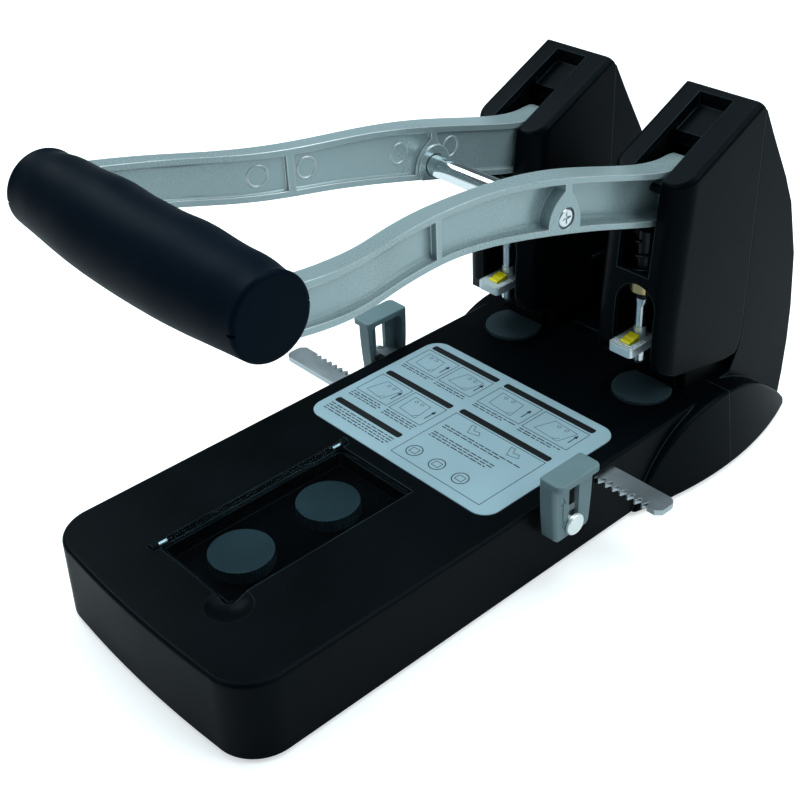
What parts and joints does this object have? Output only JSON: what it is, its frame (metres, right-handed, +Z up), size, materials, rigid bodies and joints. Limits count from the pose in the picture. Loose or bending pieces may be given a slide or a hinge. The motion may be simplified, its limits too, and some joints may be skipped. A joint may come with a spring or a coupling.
{
  "type": "two-hole paper punch",
  "caption": "Heavy-duty lever paper punch: long base, sprung twin punches in hooded towers, cranked arms with a cross grip, geared side guides.",
  "frame": {"origin": "on the surface the feet stand on, midway between the two punch boards", "axes": "+X to the user's right along the line of the holes, +Y to the back away from the grip, +Z up"},
  "size_m": [0.2051, 0.3333, 0.1946],
  "materials": {
    "black_housing": "fine textured black",
    "black_inner": "plain black",
    "feet_rubber": "matt black",
    "screw_steel": "bright plated",
    "label": "satin printed sheet, pale blue-silver",
    "clear_lid": "clear smoked plastic",
    "board_plastic": "dark grey, knurled rim",
    "frame_steel": "black coated steel plate",
    "rack_steel": "stamped steel",
    "pinion_plastic": "natural nylon",
    "guide_plastic": "satin grey",
    "knob_steel": "satin",
    "mechanism_steel": "oiled black-oxide steel",
    "bush_brass": "sintered bearing metal",
    "holder_metal": "die-cast, satin",
    "punch_steel": "ground tool steel",
    "release_yellow": "satin yellow",
    "arm_aluminium": "silver painted casting",
    "rod_chrome": "polished",
    "grip_rubber": "fine textured blue-black"
  },
  "bodies": {
    "base": {"arm_side_pads": "black_inner", "base_shell": "black_housing", "bottom_plate": "black_housing", "bottom_screws": "screw_steel", "chip_chute_left": "black_inner", "chip_chute_right": "black_inner", "cover_clips": "screw_steel", "die_pad_left": "frame_steel", "die_pad_right": "frame_steel", "drawer_runners": "black_inner", "label_plate": "label", "lid_hinge_pins": "screw_steel", "paper_stops": "black_inner", "pinion_pin": "rack_steel", "pivot_pin_left": "mechanism_steel", "pivot_pin_right": "mechanism_steel", "punch_bush_left": "bush_brass", "punch_bush_right": "bush_brass", "rack_cover": "black_inner", "rack_cover_screws": "screw_steel", "rear_housing": "black_housing", "return_spring_left": "mechanism_steel", "return_spring_right": "mechanism_steel", "rubber_feet": "feet_rubber", "spare_boards": "board_plastic", "tower_cover_left": "black_housing", "tower_cover_right": "black_housing", "tower_frame_left": "frame_steel", "tower_frame_right": "frame_steel"},
    "lever": {"lever_arm_left": "arm_aluminium", "lever_arm_right": "arm_aluminium", "arm_bushes": "bush_brass", "drive_pins": "mechanism_steel", "cross_rod": "rod_chrome", "rod_screws": "screw_steel", "grip_core": "rod_chrome", "grip_sleeve": "grip_rubber"},
    "plunger_left": {"plunger_left": "mechanism_steel", "punch_shank_left": "punch_steel"},
    "plunger_right": {"plunger_right": "mechanism_steel", "punch_shank_right": "punch_steel"},
    "holder_left": {"punch_holder_left": "holder_metal", "hollow_punch_left": "punch_steel"},
    "holder_right": {"punch_holder_right": "holder_metal", "hollow_punch_right": "punch_steel"},
    "release_button_left": {"release_button_left": "release_yellow"},
    "release_button_right": {"release_button_right": "release_yellow"},
    "board_left": {"punch_board_left": "board_plastic"},
    "board_right": {"punch_board_right": "board_plastic"},
    "front_carriage": {"front_rack": "rack_steel", "guide_knob_right": "knob_steel"},
    "rear_carriage": {"rear_rack": "rack_steel", "guide_knob_left": "knob_steel"},
    "pinion": {"pinion": "pinion_plastic"},
    "guide_right": {"paper_guide_right": "guide_plastic"},
    "guide_left": {"paper_guide_left": "guide_plastic"},
    "lid": {"tray_lid": "clear_lid"},
    "chip_drawer": {"chip_drawer": "black_housing"}
  },
  "joints": [
    {"name": "lever_swing", "type": "hinge", "parent": "base", "child": "lever", "pos_m": [0, 0.0335, 0.133], "axis": [1, 0, 0], "range_deg": [0, 26.15], "stiffness_Nm_per_rad": 2, "springref_deg": -45.84},
    {"name": "punch_slide_left", "type": "slide", "parent": "base", "child": "plunger_left", "axis": [0, 0, -1], "range_m": [0, 0.0153], "deforming": ["return_spring_left"]},
    {"name": "holder_slide_left", "type": "slide", "parent": "plunger_left", "child": "holder_left", "axis": [0, -1, 0], "range_m": [0, 0.022]},
    {"name": "button_press_left", "type": "slide", "parent": "holder_left", "child": "release_button_left", "axis": [0, 0, -1], "range_m": [0, 0.0015], "stiffness_N_per_m": 600, "springref_m": -0.001},
    {"name": "board_turn_left", "type": "hinge", "parent": "base", "child": "board_left", "pos_m": [-0.04, 0, 0.036], "axis": [0, 0, 1], "continuous": true},
    {"name": "punch_slide_right", "type": "slide", "parent": "base", "child": "plunger_right", "axis": [0, 0, -1], "range_m": [0, 0.0153], "deforming": ["return_spring_right"]},
    {"name": "holder_slide_right", "type": "slide", "parent": "plunger_right", "child": "holder_right", "axis": [0, -1, 0], "range_m": [0, 0.022]},
    {"name": "button_press_right", "type": "slide", "parent": "holder_right", "child": "release_button_right", "axis": [0, 0, -1], "range_m": [0, 0.0015], "stiffness_N_per_m": 600, "springref_m": -0.001},
    {"name": "board_turn_right", "type": "hinge", "parent": "base", "child": "board_right", "pos_m": [0.04, 0, 0.036], "axis": [0, 0, 1], "continuous": true},
    {"name": "front_rack_slide", "type": "slide", "parent": "base", "child": "front_carriage", "axis": [1, 0, 0], "range_m": [0, 0.08]},
    {"name": "rear_rack_slide", "type": "slide", "parent": "base", "child": "rear_carriage", "axis": [-1, 0, 0], "range_m": [0, 0.08]},
    {"name": "pinion_turn", "type": "hinge", "parent": "base", "child": "pinion", "pos_m": [0, -0.0706, 0.0328], "axis": [0, 0, 1], "range_deg": [-1, 440]},
    {"name": "guide_height_right", "type": "slide", "parent": "front_carriage", "child": "guide_right", "axis": [0, 0, 1], "range_m": [-0.016, 0]},
    {"name": "guide_height_left", "type": "slide", "parent": "rear_carriage", "child": "guide_left", "axis": [0, 0, 1], "range_m": [-0.016, 0]},
    {"name": "lid_hinge", "type": "hinge", "parent": "base", "child": "lid", "pos_m": [-0.0246, -0.1719, 0.0383], "axis": [0, -1, 0], "range_deg": [0, 180]},
    {"name": "chip_drawer_slide", "type": "slide", "parent": "base", "child": "chip_drawer", "axis": [0, 1, 0], "range_m": [0, 0.035]}
  ],
  "couplings": [
    {"joint": "punch_slide_left", "follows": "lever_swing", "m_per_rad": 0.033521},
    {"joint": "punch_slide_right", "follows": "lever_swing", "m_per_rad": 0.033521},
    {"joint": "rear_rack_slide", "follows": "front_rack_slide", "ratio": 1},
    {"joint": "pinion_turn", "follows": "front_rack_slide", "rad_per_m": 94.118}
  ]
}
